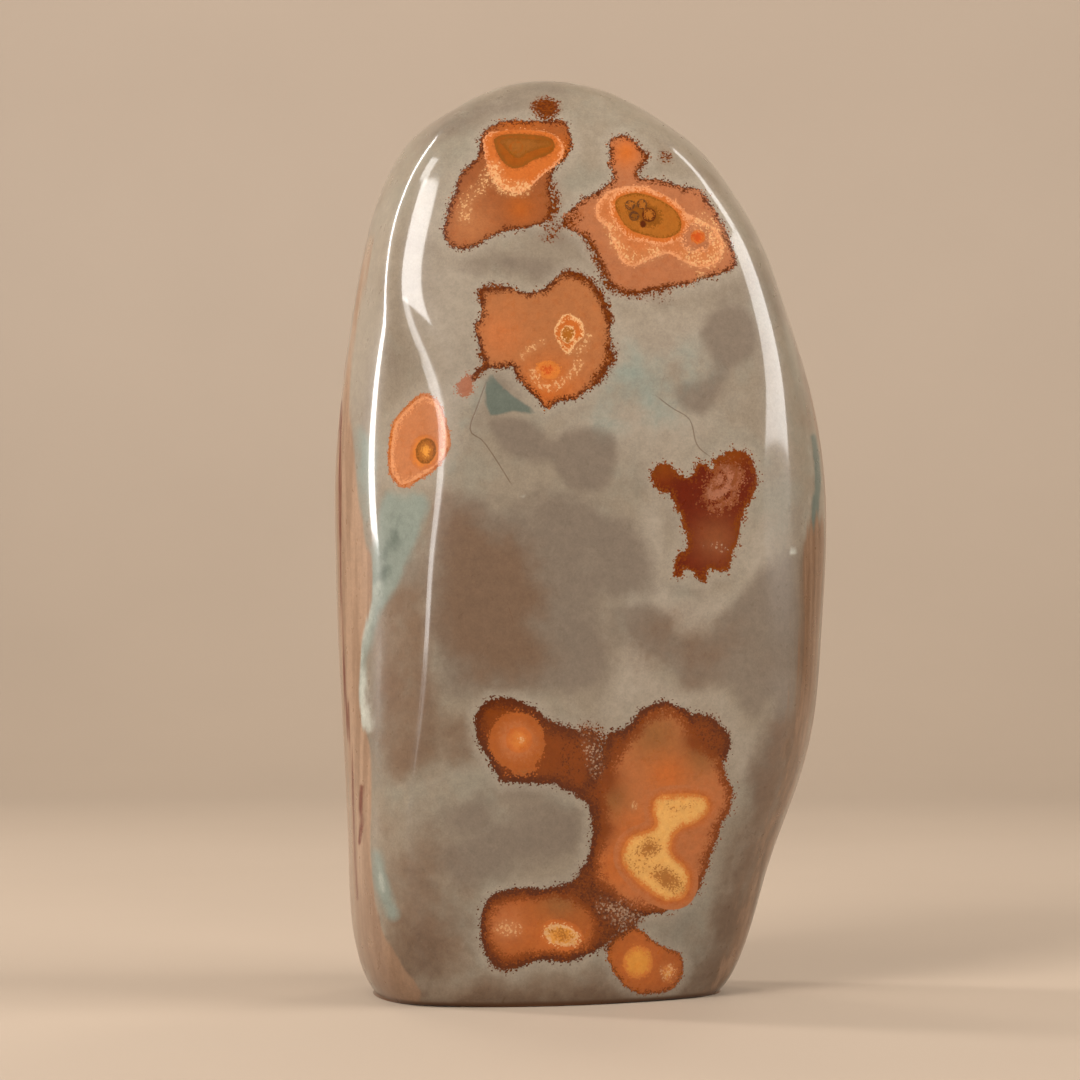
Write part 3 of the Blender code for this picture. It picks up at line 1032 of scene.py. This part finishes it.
def lay_over(mat, colour, layer, wave, grain, stipple):
    """Lays one layer's marks, with their frayed edges, over the colour so far."""
    fill = mat.read(f"fill_{layer}")
    rim = mat.read(f"rim_{layer}")
    stray = mat.math("POWER", grain, STRAY_RARITY)
    spread = mat.plus(mat.times(wave, EDGE_WAVES), stray, STRAY_GRAINS)
    spread = mat.plus(spread, mat.centred(stipple), EDGE_GRAIN)
    moved = mat.plus(mat.number(f"gap_{layer}"), spread, fill.outputs["Alpha"])
    deep = mat.plus(moved, mat.centred(stipple), RIM_GRAIN)
    deep = mat.plus(deep, wave, RIM_WAVES)
    edge = mat.step(mat.math("DIVIDE", deep, rim.outputs["Alpha"]), *RIM_RANGE)
    mark = mat.mix(edge, fill.outputs["Color"], rim.outputs["Color"])
    return mat.mix(mat.step(moved, *EDGE_RANGE), colour, mark)


# Where an amount passes a grain's own number by this much, the grain starts and is whole
GRAIN_RANGE = (-0.06, 0.2)
GRAIN_START = (0.02, 0.12)


def scatter(mat, colour, kind, target, grain, glow, strength):
    """Grains of another colour, as many as the kind's amount says, in a soft glow of it."""
    amount = mat.number(kind)
    colour = mat.mix(mat.times(amount, glow), colour, target)
    chosen = mat.step(mat.math("SUBTRACT", amount, grain), *GRAIN_RANGE)
    present = mat.step(amount, *GRAIN_START)
    return mat.mix(mat.times(mat.times(chosen, present), strength), colour, target)


# The moss grains gather where the edge waves
MOSS_WAVES = 0.8

# The redder streaks in a patch: what they leave of each channel, the noise where they
# are, the millimetres inside the patch where they start, and how much of them shows
BLUSH = (0.95, 0.74, 0.5)
BLUSH_RANGE = (0.48, 0.66)
BLUSH_INSIDE = (0.0, -0.8)
BLUSH_SHARE = 0.35

# How much the mottling and the single grains lighten and darken the rock
MOTTLE_DEPTH = 0.45
GRAIN_DEPTH = 0.12

# A crack's half width in millimetres, to its edge and to its middle, and how dark it is
CRACK_WIDTH = (0.16, 0.04)
CRACK_SHARE = 0.5

# Painted contact shadow: the foot's edge is darker over these metres
FOOT_CONTACT_SHADOW = (0.0012, 0.0004)


def rock_colour(mat, layers, wave):
    """The colours of the whole stone, one over the other."""
    grain, stipple = mat.grains(GRAIN_SIZE)
    tone, speck = mat.grains(SPECK_SIZE)
    colour = tan_skin(mat, grey_rock(mat))
    for layer in range(layers):
        colour = lay_over(mat, colour, layer, wave, grain, stipple)
        if layer == 0:
            moss = mat.mix(tone, RUST, DARK_RUST)
            chosen = mat.plus(stipple, wave, MOSS_WAVES)
            colour = scatter(mat, colour, "moss", moss, chosen, 0.4, 1.0)
    colour = scatter(mat, colour, "crumb", TAN, speck, 0.15, 0.8)
    colour = scatter(mat, colour, "cream", CREAM, speck, 0.3, 0.75)
    colour = scatter(mat, colour, "ochre", OCHRE, stipple, 0.5, 0.7)
    blush = mat.step(mat.noise(BLUSH_SPOTS), *BLUSH_RANGE)
    blush = mat.times(blush, mat.step(mat.number("gap_0"), *BLUSH_INSIDE))
    colour = mat.mix(mat.times(blush, BLUSH_SHARE), colour, BLUSH, "MULTIPLY")
    level = mat.plus(1.0, mat.centred(mat.noise(MOTTLE)), MOTTLE_DEPTH)
    level = mat.plus(level, mat.centred(stipple), GRAIN_DEPTH)
    shade = mat.add("CombineColor", {0: level, 1: level, 2: level}).outputs[0]
    return mat.mix(1.0, colour, shade, "MULTIPLY")


# The polish: a soft sheen of the rock itself under a clear, hard gloss
ROUGHNESS_LEAST = 0.24
ROUGHNESS_CHANGE = 0.1
ROCK_IOR = 1.54
ROCK_SPECULAR = 0.08
GLOSS_WEIGHT = 0.55
GLOSS_ROUGHNESS = 0.07
RIPPLE_HEIGHT = 0.25
BUMP = {"Strength": 0.25, "Distance": 0.0001}


def jasper_material(layers):
    """The whole polished rock."""
    mat = Material("polished_jasper")
    colour = rock_colour(mat, layers, mat.centred(mat.noise(EDGE_WAVE)))
    gap = mat.math("ABSOLUTE", mat.number("crack"))
    crack = mat.times(mat.step(gap, *CRACK_WIDTH), mat.number("crack_depth"))
    colour = mat.mix(mat.times(crack, CRACK_SHARE), colour, UMBER)
    # Painted contact shadow along the foot
    colour = mat.mix(mat.step(mat.along(2), *FOOT_CONTACT_SHADOW), colour, UMBER)
    roughness = mat.plus(ROUGHNESS_LEAST, mat.noise(GLOSS_CHANGES), ROUGHNESS_CHANGE)
    height = mat.times(mat.noise(RIPPLES), RIPPLE_HEIGHT)
    height = mat.math("SUBTRACT", height, crack)
    bump = mat.add("Bump", {"Height": height, **BUMP})
    return mat.finish({
        "Base Color": colour, "Roughness": roughness, "IOR": ROCK_IOR,
        "Specular IOR Level": ROCK_SPECULAR, "Coat Weight": GLOSS_WEIGHT,
        "Coat Roughness": GLOSS_ROUGHNESS, "Normal": bump.outputs[0],
    })


def camera():
    """The camera, level and looking along +Y."""
    data = bpy.data.cameras.new("camera")
    data.lens = CAMERA_LENS
    data.sensor_width = SENSOR_WIDTH
    data.clip_start = CLIP_START
    view = add_object("camera", data)
    view.location = CAMERA_PLACE
    view.rotation_euler = (math.radians(90), 0, 0)
    bpy.context.scene.camera = view


# The studio's floor, which curves up into a wall
FLOOR_COLOUR = (0.243, 0.184, 0.132)
FLOOR_DARKER = 0.94
FLOOR_ROUGHNESS = 0.7
SWEEP_FRONT = -2.0
SWEEP_BACK = 0.45
SWEEP_RADIUS = 0.25
SWEEP_TOP = 2.2
SWEEP_HALF_WIDTH = 2.5
SWEEP_STEPS = 12


def floor_material():
    """A matt, very slightly uneven surface for the studio."""
    mat = Material("studio_floor")
    darker = [value * FLOOR_DARKER for value in FLOOR_COLOUR]
    colour = mat.mix(mat.noise(FLOOR_TONE), FLOOR_COLOUR, darker)
    return mat.finish({"Base Color": colour, "Roughness": FLOOR_ROUGHNESS})


def floor():
    """The floor and the wall in one sheet."""
    profile = [(SWEEP_FRONT, 0.0)]
    for step in range(SWEEP_STEPS + 1):
        angle = math.pi / 2 * step / SWEEP_STEPS
        along = SWEEP_BACK + SWEEP_RADIUS * math.sin(angle)
        profile.append((along, SWEEP_RADIUS * (1 - math.cos(angle))))
    profile.append((SWEEP_BACK + SWEEP_RADIUS, SWEEP_TOP))
    points = [(x, y, z) for y, z in profile for x in (-SWEEP_HALF_WIDTH, SWEEP_HALF_WIDTH)]
    faces = [(2 * i, 2 * i + 1, 2 * i + 3, 2 * i + 2) for i in range(len(profile) - 1)]
    mesh = bpy.data.meshes.new("floor")
    mesh.from_pydata(points, [], faces)
    mesh.shade_smooth()
    mesh.materials.append(floor_material())
    sweep = add_object("floor", mesh)


# Softboxes: degrees from the front, distance, low and high edge, width, power, and
# whether the polish mirrors them
FIELDS = "name azimuth distance low high width power in_polish shape"
Softbox = namedtuple("Softbox", FIELDS, defaults=["RECTANGLE"])
SOFTBOXES = [Softbox(*row) for row in [
    ("left_key", -40.5, 0.75, 0.27, 0.95, 0.33, 15.5, True),
    ("left_top", -55, 0.75, 0.93, 1.28, 0.27, 4.6, True),
    ("left_step", -49, 0.75, 0.07, 0.29, 0.12, 1.05, True),
    ("left_low", -46, 0.75, 0.02, 0.32, 0.10, 0.2, True, "ELLIPSE"),
    ("left_rim", -106, 0.7, 0.085, 1.25, 0.09, 9.5, True),
    ("right", 78, 0.7, 0.113, 0.7, 0.42, 10.0, True),
    ("right_high", 88, 0.7, 0.7, 1.3, 0.16, 4.0, True),
    ("front_fill", 20, 0.9, 0.0, 0.45, 0.6, 3.4, False),
    ("back_left", -150, 0.6, 0.3, 1.1, 0.2, 4.0, False),
    ("back_right", 150, 0.6, 0.3, 1.1, 0.2, 3.0, False),
]]
LIGHT_COLOUR = (1.0, 0.98, 0.96)
OVERHEAD_PLACE = (0.0, -0.25, 1.4)
OVERHEAD_SIZE = 0.9
OVERHEAD_POWER = 2.0
WORLD_COLOUR = (0.9, 0.85, 0.8, 1.0)
WORLD_STRENGTH = 0.13


def lamp(name, shape, width, height, power, place, aim, in_polish):
    """One area light, turned towards its aim."""
    data = bpy.data.lights.new(name, "AREA")
    data.shape = shape
    data.size = width
    data.size_y = height
    data.energy = power
    data.color = LIGHT_COLOUR
    light = add_object(name, data)
    light.location = place
    light.visible_glossy = in_polish
    light.rotation_euler = (Vector(aim) - Vector(place)).to_track_quat("-Z", "Y").to_euler()


def lights():
    """The softboxes, a weak light overhead, and a weaker one from all round."""
    for box in SOFTBOXES:
        angle = math.radians(box.azimuth)
        middle = (box.low + box.high) / 2
        place = (box.distance * math.sin(angle), -box.distance * math.cos(angle), middle)
        height = box.high - box.low
        lamp(box.name, box.shape, box.width, height, box.power, place, (0, 0, middle),
             box.in_polish)
    lamp("overhead", "RECTANGLE", OVERHEAD_SIZE, OVERHEAD_SIZE, OVERHEAD_POWER,
         OVERHEAD_PLACE, (0, 0, 0), False)
    world = bpy.data.worlds.new("studio")
    world.use_nodes = True
    background = world.node_tree.nodes["Background"]
    background.inputs["Color"].default_value = WORLD_COLOUR
    background.inputs["Strength"].default_value = WORLD_STRENGTH
    bpy.context.scene.world = world


def main():
    """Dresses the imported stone, and sets up the studio."""
    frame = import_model()
    stone = smooth_stone(frame["nodes"]["stone"])
    marks = FRONT_MARKS + hidden_marks()
    cut_finer(stone.data, marks)
    surface = Surface(stone.data)
    layers = draw_marks(surface, marks)
    draw_clouds(surface, CLOUDS | GRAINS | SEAMS)
    draw_cracks(surface)
    stone.data.materials.append(jasper_material(layers))
    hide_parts("stone")
    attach(stone, "root")
    camera()
    floor()
    lights()
    bpy.context.scene.view_settings.view_transform = "Standard"


main()
